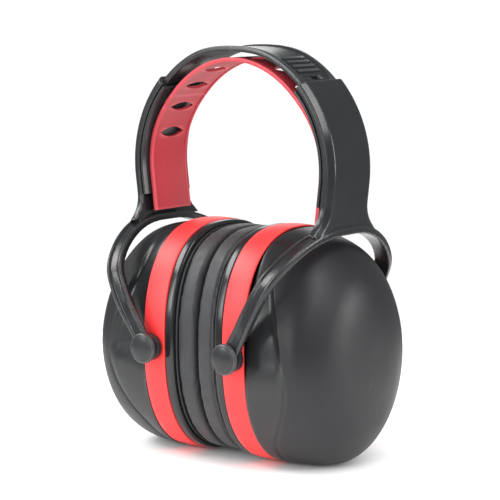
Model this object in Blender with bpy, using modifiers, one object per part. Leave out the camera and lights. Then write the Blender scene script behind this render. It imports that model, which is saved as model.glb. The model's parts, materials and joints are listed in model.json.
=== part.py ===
"""Earmuff hearing protector: two cups in forked yokes that slide on a sprung headband.

Metres, +Z up. +X runs from one ear to the other, -Y is the wearer's front. The cups
stand on Z = 0, folded together as they are when nobody wears them, so their cushions
almost meet at X = 0. Each side is built once for side = +1 and once for side = -1.
"""

from math import copysign, cos, pi, radians, sin

import bmesh
import bpy
from mathutils import Matrix, Vector

SIDES = {"right": 1, "left": -1}
ENDS = {"front": -1, "rear": 1}
GAP = 0.0003

# Cups. Their outline is a superellipse in the YZ plane, cut flat where it stands.
CUP_Z = 0.055
CUP_HALF_HEIGHT = 0.0553
CUP_HALF_WIDTH = 0.0437
CUP_POWER = 2.43
OUTLINE_POINTS = 36
RING_INNER_X = 0.0173
RING_OUTER_X = 0.0295
RING_DEPTH = 0.005
PLATE_X = 0.0125
PLATE_RIM = 0.005
EAR_INSET = 0.022
PLATE_WEB_X = 0.0148
SHEET_X = 0.0206
CUSHION_CLIP_X = (0.0112, 0.0122)
CUSHION_CLIP_INSET = 0.0022
CUSHION_X = (0.0004, 0.0109)
CUSHION_INSET = 0.0022
CUSHION_CORNER = 0.0042
SHELL_WALL = 0.0025

# The shell's outline at growing distance from the wearer: x, top, bottom, half width and
# the superellipse's power, with top and bottom counted from the cup's centre.
SHELL_STATIONS = (
    (0.0298, 0.0541, -0.0553, 0.0434, 2.43),
    (0.0315, 0.0541, -0.0553, 0.0434, 2.43),
    (0.0380, 0.0528, -0.0553, 0.0438, 2.22),
    (0.0460, 0.0512, -0.0553, 0.0439, 2.02),
    (0.0530, 0.0487, -0.0541, 0.0431, 1.90),
    (0.0580, 0.0451, -0.0519, 0.0409, 1.86),
    (0.0625, 0.0401, -0.0482, 0.0359, 1.88),
    (0.0665, 0.0335, -0.0424, 0.0299, 1.95),
    (0.0695, 0.0255, -0.0350, 0.0221, 2.02),
    (0.0712, 0.0150, -0.0245, 0.0132, 2.10),
    (0.0718, 0.0050, -0.0135, 0.0053, 2.20),
)
FOAM_STATIONS = (
    (0.0440, 0.0440, -0.0480, 0.0375, 2.00),
    (0.0530, 0.0405, -0.0470, 0.0360, 1.90),
    (0.0600, 0.0330, -0.0420, 0.0290, 1.86),
    (0.0640, 0.0250, -0.0350, 0.0220, 1.86),
)

# Pivots between a yoke and its cup, on an axis along Y.
PIVOT_X = 0.0242
PIVOT_Z = CUP_Z - 0.001
PIN_RADIUS = 0.0025
BORE_RADIUS = 0.0028
PIN_TIP_Y = 0.0402
CAP_RADIUS = 0.0072
BUSH_RADIUS = 0.0062
BUSH_Y = (0.0441, 0.0468)
EYE_Y = (0.0472, 0.0496)
EYE_RADIUS = 0.0064
CAP_Y = (0.0499, 0.0524)

# Arch. Band, sleeves and strap share one centre, and angles count up from +X.
ARCH_Z = CUP_Z + 0.082
BAND_RADIUS = 0.0571
BAND_CROWN_DROP = 0.0011
BAND_CROWN_ANGLE = 66
BAND_THICKNESS = 0.0028
BAND_HALF_WIDTH = 0.01375
BAND_RECESS = 0.0008
BAND_RIM = 0.0028
BAND_END_ANGLE = 10
SHOE_RADII = (0.0546, 0.0568)
SHOE_ANGLES = (9.6, 5.8)
SHOE_HALF_WIDTH = 0.0133
SLEEVE_RADIUS = 0.0593
SLEEVE_INNER_RADIUS = 0.0543
SLEEVE_HALF_WIDTH = 0.0169
SLEEVE_CHAMFER = 0.0024
SLEEVE_MOUTH_ANGLE = 43.7
STEM_ANGLE = -7
CHANNEL_RADIUS = 0.0574
CHANNEL_HALF_WIDTH = 0.01415
CHANNEL_END_ANGLE = -13.6
COVER_RADII = (0.0526, 0.0540)
COVER_ANGLES = (43.2, -16)
COVER_HALF_WIDTH = 0.0167
CATCH_RADII = (0.0566, 0.0571)
CATCH_ANGLES = (38, 29)
CATCH_HALF_WIDTH = 0.007
STRAP_RADIUS = 0.0506
STRAP_WAIST = 0.0008
STRAP_SPREAD = 0.0015
STRAP_THICKNESS = 0.0019
STRAP_HALF_WIDTH = 0.0128
STRAP_END_ANGLE = -24
SLOT_COUNT = 10
SLOT_STEP_ANGLE = 16.5
SLOT_HALF_LENGTH = 0.008
SLOT_HALF_WIDTH = 0.0026
CLIP_RADII = (0.0516, 0.0540)
CLIP_ANGLES = (-17, -23)
CLIP_HALF_WIDTH = 0.009

# Yoke: the sleeve flares at its foot into a fork that runs round the cup.
STEM_FOOT_ANGLE = -27.6
FLARE_ANGLE = -15
FLARE_WIDTH = 0.0075
FLARE_POWER = 2.2
FORK_WIDTH = 0.0082
FORK_THICKNESS = 0.003
FORK_EYE_THICKNESS = 0.0022
FORK_RIDGE = 0.0004
FORK_STEPS = 3
FORK_ROUTE = (
    (0.0242, 0.0484, -0.0010),
    (0.0295, 0.0484, 0.0075),
    (0.0370, 0.0488, 0.0200),
    (0.0440, 0.0467, 0.0334),
    (0.0485, 0.0380, 0.0430),
    (0.0515, 0.0260, 0.0502),
    (0.0533, 0.0130, 0.0539),
    (0.0536, 0.0000, 0.0545),
)

COLOURS = {
    "black_plastic": ((0.022, 0.023, 0.025), 0.42),
    "gloss_plastic": ((0.018, 0.019, 0.021), 0.18),
    "red_plastic": ((0.930, 0.060, 0.070), 0.35),
    "red_rubber": ((0.600, 0.015, 0.030), 0.40),
    "leather": ((0.030, 0.031, 0.034), 0.50),
    "foam": ((0.050, 0.050, 0.052), 0.95),
    "steel": ((0.600, 0.610, 0.620), 0.30),
}
METALS = {"steel"}


def clear_scene():
    for obj in list(bpy.data.objects):
        bpy.data.objects.remove(obj)


def make_collection(name):
    made = bpy.data.collections.new(name)
    bpy.context.scene.collection.children.link(made)
    return made


def make_material(name):
    colour, roughness = COLOURS[name]
    material = bpy.data.materials.new(name)
    material.use_nodes = True
    shader = material.node_tree.nodes["Principled BSDF"]
    shader.inputs["Base Color"].default_value = (*colour, 1)
    shader.inputs["Roughness"].default_value = roughness
    shader.inputs["Metallic"].default_value = float(name in METALS)
    return material


clear_scene()
PARTS = make_collection("earmuff")
CUTTERS = make_collection("cutters")
MATERIALS = {name: make_material(name) for name in COLOURS}


def add_object(name, mesh, material, pivot=None):
    """A part whose origin is at its pivot, with its mesh given in world coordinates."""
    obj = bpy.data.objects.new(name, mesh)
    PARTS.objects.link(obj)
    mesh.materials.append(MATERIALS[material])
    if pivot is not None:
        mesh.transform(Matrix.Translation(-Vector(pivot)))
        obj.location = pivot
    return obj


def add_cutter(name, mesh):
    obj = bpy.data.objects.new(name, mesh)
    CUTTERS.objects.link(obj)
    obj.hide_render = True
    obj.display_type = "WIRE"
    return obj


def cut(obj, *cutters, operation="DIFFERENCE"):
    for cutter in cutters:
        modifier = obj.modifiers.new(cutter.name, "BOOLEAN")
        modifier.operation = operation
        modifier.object = cutter


def finish_mesh(name, bm, smooth_angle=35):
    bmesh.ops.remove_doubles(bm, verts=bm.verts, dist=1e-6)
    bmesh.ops.recalc_face_normals(bm, faces=bm.faces)
    mesh = bpy.data.meshes.new(name)
    bm.to_mesh(mesh)
    bm.free()
    mesh.shade_smooth()
    mesh.set_sharp_from_angle(angle=radians(smooth_angle))
    return mesh


def loft(name, sections, closed=False, caps=(True, True)):
    """A skin over equally long rings of points; closed joins the last ring to the first."""
    bm = bmesh.new()
    rings = [[bm.verts.new(point) for point in section] for section in sections]
    pairs = list(zip(rings, rings[1:]))
    if closed:
        pairs.append((rings[-1], rings[0]))
    for ring, following in pairs:
        for i in range(len(ring)):
            j = (i + 1) % len(ring)
            bm.faces.new((ring[i], ring[j], following[j], following[i]))
    if not closed and caps[0]:
        bm.faces.new(rings[0])
    if not closed and caps[1]:
        bm.faces.new(rings[-1])
    return finish_mesh(name, bm)


def rod(name, radius, start, end, segments=24):
    bm = bmesh.new()
    start, end = Vector(start), Vector(end)
    turn = (end - start).to_track_quat("Z", "Y").to_matrix().to_4x4()
    matrix = Matrix.Translation((start + end) / 2) @ turn
    bmesh.ops.create_cone(
        bm, segments=segments, radius1=radius, radius2=radius,
        depth=(end - start).length, cap_ends=True, matrix=matrix,
    )
    return finish_mesh(name, bm)


def turned(name, profile, material, location, rotation, ring=False, steps=24):
    """A profile of (radius, height), from its top down its outer side, turned about Z."""
    mesh = bpy.data.meshes.new(name)
    edges = [(i, i + 1) for i in range(len(profile) - 1)]
    if ring:
        edges.append((len(profile) - 1, 0))
    mesh.from_pydata([(radius, 0, height) for radius, height in profile], edges, [])
    obj = add_object(name, mesh, material)
    obj.location = location
    obj.rotation_euler = rotation
    screw = obj.modifiers.new("turn", "SCREW")
    screw.steps = screw.render_steps = steps
    screw.use_merge_vertices = True
    screw.merge_threshold = 1e-5
    return obj


def outline(side, x, top, bottom, half_width, power=CUP_POWER):
    """A superellipse at one x, whose foot is cut flat on the plane that the cups stand on."""
    middle, half_height = (top + bottom) / 2, (top - bottom) / 2
    points = []
    for i in range(OUTLINE_POINTS):
        turn = 2 * pi * (i + 0.5) / OUTLINE_POINTS
        c, s = cos(turn), sin(turn)
        y = copysign(abs(c) ** (2 / power), c) * half_width
        z = copysign(abs(s) ** (2 / power), s) * half_height + middle
        points.append((side * x, y, max(CUP_Z + z, 0)))
    return points


def inset_outline(x, inset, side):
    half_height = CUP_HALF_HEIGHT - inset
    return outline(side, x, half_height, -half_height, CUP_HALF_WIDTH - inset)


def hoop(name, profile, material, side):
    """A hoop round the cup with a closed profile of (x, inset from the cup's outline)."""
    rings = [inset_outline(x, inset, side) for x, inset in profile]
    return add_object(name, loft(name, rings, closed=True), material)


def arch(radius, angle, y, side=1):
    """A point on the arch; below STEM_ANGLE the arch runs on straight."""
    turn = radians(max(angle, STEM_ANGLE))
    x, z = radius * cos(turn), radius * sin(turn)
    if angle < STEM_ANGLE:
        run = radians(STEM_ANGLE - angle) * SLEEVE_RADIUS
        x, z = x + run * sin(turn), z - run * cos(turn)
    return (side * x, y, ARCH_Z + z)


def circle_point(radius, angle, y, side=1):
    turn = radians(angle)
    return (side * radius * cos(turn), y, ARCH_Z + radius * sin(turn))


def angles(start, end, step):
    count = max(1, round(abs(end - start) / step))
    return [start + (end - start) * i / count for i in range(count + 1)]


def bent_bar(name, radii, half_width, span, side, step=4):
    """A plain rectangular bar that follows the arch."""
    inner, outer = radii
    corners = ((outer, -1), (outer, 1), (inner, 1), (inner, -1))
    sections = [
        [arch(r, angle, edge * half_width, side) for r, edge in corners]
        for angle in angles(*span, step)
    ]
    return loft(name, sections)


def smoothstep(value):
    value = min(max(value, 0), 1)
    return value * value * (3 - 2 * value)


def band_radius(angle):
    from_side = min(angle, 180 - angle)
    rise = (from_side - BAND_CROWN_ANGLE) / (90 - BAND_CROWN_ANGLE)
    return BAND_RADIUS - BAND_CROWN_DROP * smoothstep(rise)


def make_headband():
    """One springy strip with raised rims along its edges and a recess between them."""
    rim, slope = BAND_HALF_WIDTH - BAND_RIM, 0.0006
    half = (
        (-BAND_THICKNESS, BAND_HALF_WIDTH),
        (-0.0005, BAND_HALF_WIDTH),
        (0, BAND_HALF_WIDTH - 0.0005),
        (0, rim),
        (-BAND_RECESS, rim - slope),
    )
    section = half + tuple((depth, -y) for depth, y in reversed(half))
    sections = [
        [circle_point(band_radius(angle) + depth, angle, y) for depth, y in section]
        for angle in angles(BAND_END_ANGLE, 180 - BAND_END_ANGLE, 4)
    ]
    add_object("headband_spring", loft("headband_spring", sections), "black_plastic")


def strap_radius(angle):
    """The strap keeps off the band over the head and nears the sleeves at its ends."""
    waist = STRAP_WAIST * sin(2 * radians(max(angle, 45))) ** 2
    return STRAP_RADIUS - waist + STRAP_SPREAD * smoothstep((45 - angle) / 35)


def slot_cutter(index):
    """An elliptic rod through the strap, long across it and short along it."""
    angle = 90 + SLOT_STEP_ANGLE * (index - (SLOT_COUNT - 1) / 2)
    turn = Matrix.Translation((0, 0, ARCH_Z)) @ Matrix.Rotation(-radians(angle - 90), 4, "Y")
    squeeze = Matrix.Diagonal((SLOT_HALF_WIDTH / SLOT_HALF_LENGTH, 1, 1, 1))
    bm = bmesh.new()
    bmesh.ops.create_cone(
        bm, segments=14, radius1=SLOT_HALF_LENGTH, radius2=SLOT_HALF_LENGTH, depth=0.012,
        cap_ends=True, matrix=turn @ Matrix.Translation((0, 0, STRAP_RADIUS)) @ squeeze,
    )
    name = f"slot_cutter_{index}"
    return add_cutter(name, finish_mesh(name, bm))


def make_strap():
    """The soft strap that rests on the head, pierced by a row of slots."""
    sections = []
    for angle in angles(STRAP_END_ANGLE, 180 - STRAP_END_ANGLE, 4.3):
        side, from_side = (1, angle) if angle < 90 else (-1, 180 - angle)
        outer = strap_radius(from_side)
        inner = outer - STRAP_THICKNESS
        corners = ((outer, -1), (outer, 1), (inner, 1), (inner, -1))
        sections.append([arch(r, from_side, e * STRAP_HALF_WIDTH, side) for r, e in corners])
    strap = add_object("comfort_strap", loft("comfort_strap", sections), "red_rubber")
    cut(strap, *(slot_cutter(i) for i in range(SLOT_COUNT)))


def flare(angle):
    past = max(0, (FLARE_ANGLE - angle) / (FLARE_ANGLE - STEM_FOOT_ANGLE))
    return FLARE_WIDTH * past ** FLARE_POWER


def sleeve_solid(name, side):
    """The sleeve and its flared stem, before the band's channel is cut."""
    sections = []
    for angle in angles(SLEEVE_MOUTH_ANGLE, STEM_FOOT_ANGLE, 3.7):
        half_width = SLEEVE_HALF_WIDTH + flare(angle)
        edge = half_width - SLEEVE_CHAMFER
        half = (
            (SLEEVE_INNER_RADIUS, half_width),
            (SLEEVE_RADIUS - SLEEVE_CHAMFER / 2, half_width),
            (SLEEVE_RADIUS, edge),
        )
        section = half + tuple((r, -y) for r, y in reversed(half))
        sections.append([arch(r, angle, y, side) for r, y in section])
    return loft(name, sections)


def catmull_rom(points, steps):
    """A smooth run through the points."""
    points = [Vector(point) for point in points]
    padded = [2 * points[0] - points[1], *points, 2 * points[-1] - points[-2]]
    run = []
    for a, b, c, d in zip(padded, padded[1:], padded[2:], padded[3:]):
        for i in range(steps):
            t = i / steps
            bend = (2 * a - 5 * b + 4 * c - d) * t * t + (3 * b - a - 3 * c + d) * t ** 3
            run.append((2 * b + (c - a) * t + bend) / 2)
    return run + [points[-1]]


def fork_route(side):
    half = [Vector((side * x, -y, CUP_Z + z)) for x, y, z in FORK_ROUTE]
    return half + [Vector((p.x, -p.y, p.z)) for p in reversed(half[:-1])]


def fork_solid(name, side):
    """The ribbon that runs round the cup from one pivot eye to the other."""
    route = catmull_rom(fork_route(side), FORK_STEPS)
    sections = []
    for i, point in enumerate(route):
        ahead, behind = route[min(i + 1, len(route) - 1)], route[max(i - 1, 0)]
        tangent = (ahead - behind).normalized()
        out = Vector((0, point.y, point.z - CUP_Z))
        out = (out - tangent * out.dot(tangent)).normalized()
        across = tangent.cross(out) * FORK_WIDTH / 2
        near_eye = smoothstep((point.z - PIVOT_Z - 0.009) / 0.012)
        thickness = FORK_EYE_THICKNESS + (FORK_THICKNESS - FORK_EYE_THICKNESS) * near_eye
        lift = out * thickness / 2
        ridge = out * FORK_RIDGE * near_eye
        sections.append([
            point + across * u + lift * v + ridge * w
            for u, v, w in (
                (-1, -1, 0), (1, -1, 0), (1, 0.4, 0), (0.8, 1, 0),
                (0, 1, 1), (-0.8, 1, 0), (-1, 0.4, 0),
            )
        ])
    return loft(name, sections)


def eye_solid(name, side, end, span, radius):
    start, finish = ((side * PIVOT_X, end * y, PIVOT_Z) for y in span)
    return rod(name, radius, start, finish)


def pivot_bores(word, side):
    """One cutter for each pivot, through the fork's eye, the bush and the ring."""
    cutters = []
    for place, end in ENDS.items():
        name = f"{word}_{place}_bore_cutter"
        mesh = eye_solid(name, side, end, (0.036, 0.056), BORE_RADIUS)
        cutters.append(add_cutter(name, mesh))
    return cutters


def make_yoke(word, side, bores):
    """Sleeve, stem, fork and eyes are one moulding, hollowed for the band."""
    name = f"{word}_slider_yoke"
    pivot = (0, 0, ARCH_Z)
    yoke = add_object(name, sleeve_solid(name, side), "black_plastic", pivot)
    joined = [add_cutter(f"{word}_fork", fork_solid(f"{word}_fork", side))]
    for place, end in ENDS.items():
        eye = f"{word}_{place}_eye"
        joined.append(add_cutter(eye, eye_solid(eye, side, end, EYE_Y, EYE_RADIUS)))
    cut(yoke, *joined, operation="UNION")
    channel = f"{word}_channel_cutter"
    span = (SLEEVE_MOUTH_ANGLE + 6, CHANNEL_END_ANGLE)
    mesh = bent_bar(channel, (0.050, CHANNEL_RADIUS), CHANNEL_HALF_WIDTH, span, side)
    cut(yoke, add_cutter(channel, mesh), *bores)


def make_slide_parts(word, side):
    """What guides the band in the sleeve, and the clip that holds the strap's end."""
    bars = (
        ("sleeve_cover", COVER_RADII, COVER_HALF_WIDTH, COVER_ANGLES, "black_plastic"),
        ("click_spring", CATCH_RADII, CATCH_HALF_WIDTH, CATCH_ANGLES, "steel"),
        ("band_shoe", SHOE_RADII, SHOE_HALF_WIDTH, SHOE_ANGLES, "black_plastic"),
        ("strap_clip", CLIP_RADII, CLIP_HALF_WIDTH, CLIP_ANGLES, "black_plastic"),
    )
    for piece, radii, half_width, span, material in bars:
        name = f"{word}_{piece}"
        mesh = bent_bar(name, radii, half_width, span, side)
        add_object(name, mesh, material, (0, 0, ARCH_Z))


def make_shell(word, side):
    """The hollow outer cup, open towards the wearer."""
    name = f"{word}_outer_shell"
    rings = [outline(side, *station) for station in SHELL_STATIONS]
    mesh = loft(name, rings, caps=(False, True))
    shell = add_object(name, mesh, "gloss_plastic")
    wall = shell.modifiers.new("wall", "SOLIDIFY")
    wall.thickness = SHELL_WALL
    wall.offset = -1


def make_cup_inside(word, side):
    """Foam in the shell, and the thin sheet that closes the cup behind the ear."""
    liner = f"{word}_foam_liner"
    rings = [outline(side, *station) for station in FOAM_STATIONS]
    add_object(liner, loft(liner, rings), "foam")
    sheet = f"{word}_inner_sheet"
    inset = RING_DEPTH + 2 * GAP
    rings = [inset_outline(x, inset, side) for x in (RING_INNER_X + GAP, SHEET_X)]
    add_object(sheet, loft(sheet, rings), "foam")


def make_ring_and_plates(word, side, bores):
    """The coloured ring, the back plate and the plate that the cushion snaps on with."""
    ring = hoop(
        f"{word}_accent_ring",
        (
            (RING_INNER_X, 0.0006), (RING_INNER_X + 0.0006, 0), (RING_OUTER_X - 0.0006, 0),
            (RING_OUTER_X, 0.0006), (RING_OUTER_X, RING_DEPTH), (RING_INNER_X, RING_DEPTH),
        ),
        "red_plastic", side,
    )
    cut(ring, *bores)
    outer_x = RING_INNER_X - GAP
    hoop(
        f"{word}_back_plate",
        (
            (PLATE_X, 0.0014), (PLATE_X + 0.0009, 0.0005), (outer_x - 0.0005, 0.0005),
            (outer_x, 0.0010), (outer_x, EAR_INSET), (PLATE_WEB_X, EAR_INSET),
            (PLATE_WEB_X, PLATE_RIM), (PLATE_X, PLATE_RIM),
        ),
        "gloss_plastic", side,
    )
    near_x, far_x = CUSHION_CLIP_X
    step = PLATE_RIM + 0.0012
    hoop(
        f"{word}_cushion_plate",
        (
            (near_x, CUSHION_CLIP_INSET), (far_x, CUSHION_CLIP_INSET), (far_x, step),
            (PLATE_WEB_X - GAP, step), (PLATE_WEB_X - GAP, EAR_INSET), (near_x, EAR_INSET),
        ),
        "black_plastic", side,
    )


def make_cushion(word, side):
    """A padded ring, soft where it meets the head."""
    low_x, high_x = CUSHION_X
    low, high = CUSHION_INSET, EAR_INSET + 0.001
    corner, steps = CUSHION_CORNER, 2
    profile = []
    corners = (
        (high_x - corner, low + corner, 0), (low_x + corner, low + corner, 90),
        (low_x + corner, high - corner, 180), (high_x - corner, high - corner, 270),
    )
    for x, inset, start in corners:
        for i in range(steps + 1):
            turn = radians(start + 90 * i / steps)
            profile.append((x + corner * cos(turn), inset - corner * sin(turn)))
    hoop(f"{word}_ear_cushion", profile, "leather", side)


def make_pivots(word, side, bores):
    """A bush on the ring and a domed pin through the fork's eye, at the front and the rear."""
    for (place, end), bore in zip(ENDS.items(), bores):
        bush = f"{word}_{place}_bush"
        mesh = eye_solid(bush, side, end, BUSH_Y, BUSH_RADIUS)
        cut(add_object(bush, mesh, "black_plastic"), bore)
        under, top = CAP_Y
        profile = (
            (0, top), (0.0035, top - 0.0002), (0.0060, top - 0.0009),
            (CAP_RADIUS, top - 0.0018), (CAP_RADIUS, under),
            (PIN_RADIUS, under), (PIN_RADIUS, PIN_TIP_Y), (0, PIN_TIP_Y),
        )
        place_at = (side * PIVOT_X, 0, PIVOT_Z)
        turn = (-end * pi / 2, 0, 0)
        turned(f"{word}_{place}_pivot_pin", profile, "black_plastic", place_at, turn)


def make_side(word, side):
    bores = pivot_bores(word, side)
    make_yoke(word, side, bores)
    make_slide_parts(word, side)
    make_shell(word, side)
    make_cup_inside(word, side)
    make_ring_and_plates(word, side, bores)
    make_cushion(word, side)
    make_pivots(word, side, bores)


make_headband()
make_strap()
for side_word, side_sign in SIDES.items():
    make_side(side_word, side_sign)
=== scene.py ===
# %% [markdown]
# # An earmuff, from a plain frame to a finished look
#
# A hearing protector is a handful of moulded plastic parts, two padded rings and a rubber
# strap. The frame that is loaded here already has every part at its real size and every
# joint in its place. This notebook dresses it. Each step says what the piece is on the real
# object, and why it is made the way it is.
#
# Sizes are in millimetres, because that is how such parts are drawn. One helper turns them
# into Blender's metres. +X runs towards the wearer's right-hand cup, -Y is the front.

# %% Load the frame
import json
import math

import bmesh
import bpy
import numpy as np
from mathutils import Matrix, Vector


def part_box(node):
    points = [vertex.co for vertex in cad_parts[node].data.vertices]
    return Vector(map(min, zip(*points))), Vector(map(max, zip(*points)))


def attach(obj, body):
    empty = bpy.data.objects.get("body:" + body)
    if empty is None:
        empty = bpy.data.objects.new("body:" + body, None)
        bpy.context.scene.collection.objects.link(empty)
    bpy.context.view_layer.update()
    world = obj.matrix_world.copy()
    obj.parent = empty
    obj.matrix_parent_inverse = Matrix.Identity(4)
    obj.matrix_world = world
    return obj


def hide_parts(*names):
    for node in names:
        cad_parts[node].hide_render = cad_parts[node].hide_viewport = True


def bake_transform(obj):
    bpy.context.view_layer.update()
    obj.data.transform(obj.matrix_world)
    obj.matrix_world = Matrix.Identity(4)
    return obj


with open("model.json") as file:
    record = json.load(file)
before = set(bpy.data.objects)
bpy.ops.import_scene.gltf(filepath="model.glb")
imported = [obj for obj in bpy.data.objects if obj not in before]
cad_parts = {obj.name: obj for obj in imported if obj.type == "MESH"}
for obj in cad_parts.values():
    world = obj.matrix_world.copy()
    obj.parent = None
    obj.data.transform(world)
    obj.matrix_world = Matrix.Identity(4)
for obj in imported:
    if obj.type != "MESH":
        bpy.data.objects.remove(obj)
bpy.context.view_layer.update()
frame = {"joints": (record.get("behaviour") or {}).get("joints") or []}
MM = 0.001
SIDES = {"right": 1, "left": -1}
ENDS = {"front": -1, "rear": 1}

# %% [markdown]
# ## Reading the frame
#
# The joints say where the arch of the headband has its centre and where the cups pivot.
# The boxes of a few nodes say how thick things are. Everything later is built from these
# few numbers, so that the new pieces land exactly where the plain ones were.

# %% Measures from the frame
joint_at = {joint["name"]: np.array(joint["pos_m"]) / MM for joint in frame["joints"]}
ARCH_Z = joint_at["right_height"][2]
PIVOT_X, _, PIVOT_Z = joint_at["right_tilt"]


def box_mm(node):
    low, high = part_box(node)
    return np.array(low) / MM, np.array(high) / MM


ring_low, ring_high = box_mm("right_accent_ring")
RING_INNER_X, RING_OUTER_X = ring_low[0], ring_high[0]
# The rest are drawing sizes that no box can tell.
CUP_Z = 55.0
CUP_MIDDLE = np.array([0, 0, CUP_Z])
CUP_HALF_WIDTH, CUP_HALF_HEIGHT, CUP_POWER = 43.7, 55.3, 2.43
PLATE_X = box_mm("right_back_plate")[0][0]
SLEEVE_RADIUS = 59.3
BAND_RADIUS, BAND_THICKNESS, BAND_HALF_WIDTH = 57.1, 2.8, 13.75
STRAP_RADIUS, STRAP_THICKNESS = 50.6, 1.9
print(f"arch centre {ARCH_Z:.1f} mm up, pivots at {PIVOT_X:.1f} mm, ring to {RING_OUTER_X:.1f} mm")

# %% [markdown]
# ## The camera
#
# A long lens from a little above keeps the two cups nearly the same size. The camera stands
# on a sphere round a point above the cups' centre.

# %% Camera
AZIMUTH, ELEVATION, ROLL = math.radians(38.15), math.radians(7.66), math.radians(-0.35)
CAMERA_DISTANCE, TARGET_UP, TARGET_RIGHT = 946.7, 41.34, -0.19
back = Vector((
    math.sin(AZIMUTH) * math.cos(ELEVATION),
    -math.cos(AZIMUTH) * math.cos(ELEVATION),
    math.sin(ELEVATION),
))
right = Vector((math.cos(AZIMUTH), math.sin(AZIMUTH), 0))
target = right * TARGET_RIGHT + Vector((0, 0, CUP_Z + TARGET_UP))
camera_data = bpy.data.cameras.new("camera")
camera_data.sensor_width = 36
camera_data.lens = 144
camera = bpy.data.objects.new("camera", camera_data)
bpy.context.scene.collection.objects.link(camera)
camera.location = (target + back * CAMERA_DISTANCE) * MM
camera.rotation_mode = "QUATERNION"
roll = Matrix.Rotation(ROLL, 4, "Z").to_quaternion()
camera.rotation_quaternion = (-back).to_track_quat("-Z", "Y") @ roll
bpy.context.scene.camera = camera
print("camera at", tuple(round(x, 3) for x in camera.location))

# %% [markdown]
# ## Floor and light
#
# Black plastic shows almost nothing of its own colour: what one sees is the room in it. A
# black object in a white room turns grey. So the room is white to look at and to light
# with, but what the gloss mirrors is a darker room, and a few large soft lights draw the
# long highlights. The floor is a small pale disc, so that low mirror rays run past it.

# %% Floor and room


def node_material(name):
    """A material with its Principled shader, ready for more nodes."""
    material = bpy.data.materials.new(name)
    material.use_nodes = True
    return material, material.node_tree, material.node_tree.nodes["Principled BSDF"]


FLOOR_RADIUS, FLOOR_HEIGHT, FLOOR_CORNERS = 0.34, -0.0002, 96
floor_material, _, floor_shader = node_material("pale_floor")
floor_shader.inputs["Base Color"].default_value = (0.97, 0.97, 0.97, 1)
floor_shader.inputs["Roughness"].default_value = 0.95
floor_shader.inputs["Specular IOR Level"].default_value = 0.0
floor_mesh = bpy.data.meshes.new("floor")
turns = [2 * math.pi * i / FLOOR_CORNERS for i in range(FLOOR_CORNERS)]
floor_points = [
    (math.cos(t) * FLOOR_RADIUS, math.sin(t) * FLOOR_RADIUS, FLOOR_HEIGHT) for t in turns
]
floor_mesh.from_pydata(floor_points, [], [tuple(range(FLOOR_CORNERS))])
floor_mesh.materials.append(floor_material)
floor = bpy.data.objects.new("floor", floor_mesh)
bpy.context.scene.collection.objects.link(floor)

ROOM_WHITE, ROOM_MIRRORED = 1.06, 0.28
world = bpy.data.worlds.new("studio")
world.use_nodes = True
room = world.node_tree
white_room = room.nodes["Background"]
white_room.inputs["Color"].default_value = (1, 1, 1, 1)
white_room.inputs["Strength"].default_value = ROOM_WHITE
dark_room = room.nodes.new("ShaderNodeBackground")
dark_room.inputs["Color"].default_value = (0.97, 0.99, 1, 1)
dark_room.inputs["Strength"].default_value = ROOM_MIRRORED
ray_kind = room.nodes.new("ShaderNodeLightPath")
choose = room.nodes.new("ShaderNodeMixShader")
room.links.new(ray_kind.outputs["Is Glossy Ray"], choose.inputs["Fac"])
room.links.new(white_room.outputs["Background"], choose.inputs[1])
room.links.new(dark_room.outputs["Background"], choose.inputs[2])
room.links.new(choose.outputs["Shader"], room.nodes["World Output"].inputs["Surface"])
bpy.context.scene.world = world
bpy.context.scene.view_settings.view_transform = "Standard"
print("floor of radius", FLOOR_RADIUS, "m and a white room")

# %% Soft lights


LIGHTS_AIM = Vector((0, 0, 0.09))


def soft_light(name, direction, distance, size, power):
    """An area light in that direction from the object, turned to face it."""
    data = bpy.data.lights.new(name, "AREA")
    data.shape = "RECTANGLE"
    data.size, data.size_y = size
    data.energy = power
    light = bpy.data.objects.new(name, data)
    out = Vector(direction).normalized()
    light.location = LIGHTS_AIM + out * distance
    light.rotation_mode = "QUATERNION"
    light.rotation_quaternion = out.to_track_quat("Z", "Y")
    bpy.context.scene.collection.objects.link(light)


LIGHTS = (
    ("key_upper_left", (-0.62, -0.38, 0.66), 1.0, (0.72, 0.36), 6.6),
    ("front_left_strip", (-0.56, -0.86, 0.28), 1.1, (0.20, 0.50), 3.0),
    ("rear_left_box", (-0.60, 0.80, 0.28), 1.1, (0.50, 0.30), 0.7),
    ("lip_strip", (0.05, -0.95, 0.24), 1.1, (0.16, 0.60), 2.4),
    ("right_strip", (0.66, -0.165, 0.76), 1.0, (0.14, 0.80), 4.0),
    ("right_rear_box", (0.86, 0.36, 0.16), 1.1, (0.34, 0.50), 4.6),
)
for light_values in LIGHTS:
    soft_light(*light_values)
print(len(LIGHTS), "soft lights")

# %% [markdown]
# ## Helpers for moulded shapes
#
# Nearly all of this object is one idea: a section carried along a path. A hoop carries it
# round the cup's outline, a strip carries it along the arch. So there is one function that
# makes a skin over rings of points, and one that rounds the corners of a section, because
# a moulded edge is never a knife edge and the round is what catches the light.

# %% Mesh helpers


def make_piece(name, points, faces, material, smooth_angle=50):
    """A mesh object from points in millimetres, with its normals facing out."""
    mesh = bpy.data.meshes.new(name)
    mesh.from_pydata((np.asarray(points, float) * MM).tolist(), [], faces)
    bm = bmesh.new()
    bm.from_mesh(mesh)
    bmesh.ops.remove_doubles(bm, verts=bm.verts, dist=1e-6)
    bmesh.ops.recalc_face_normals(bm, faces=bm.faces)
    bm.to_mesh(mesh)
    bm.free()
    mesh.shade_smooth()
    mesh.set_sharp_from_angle(angle=math.radians(smooth_angle))
    mesh.materials.append(material)
    piece = bpy.data.objects.new(name, mesh)
    bpy.context.scene.collection.objects.link(piece)
    return piece


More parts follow.
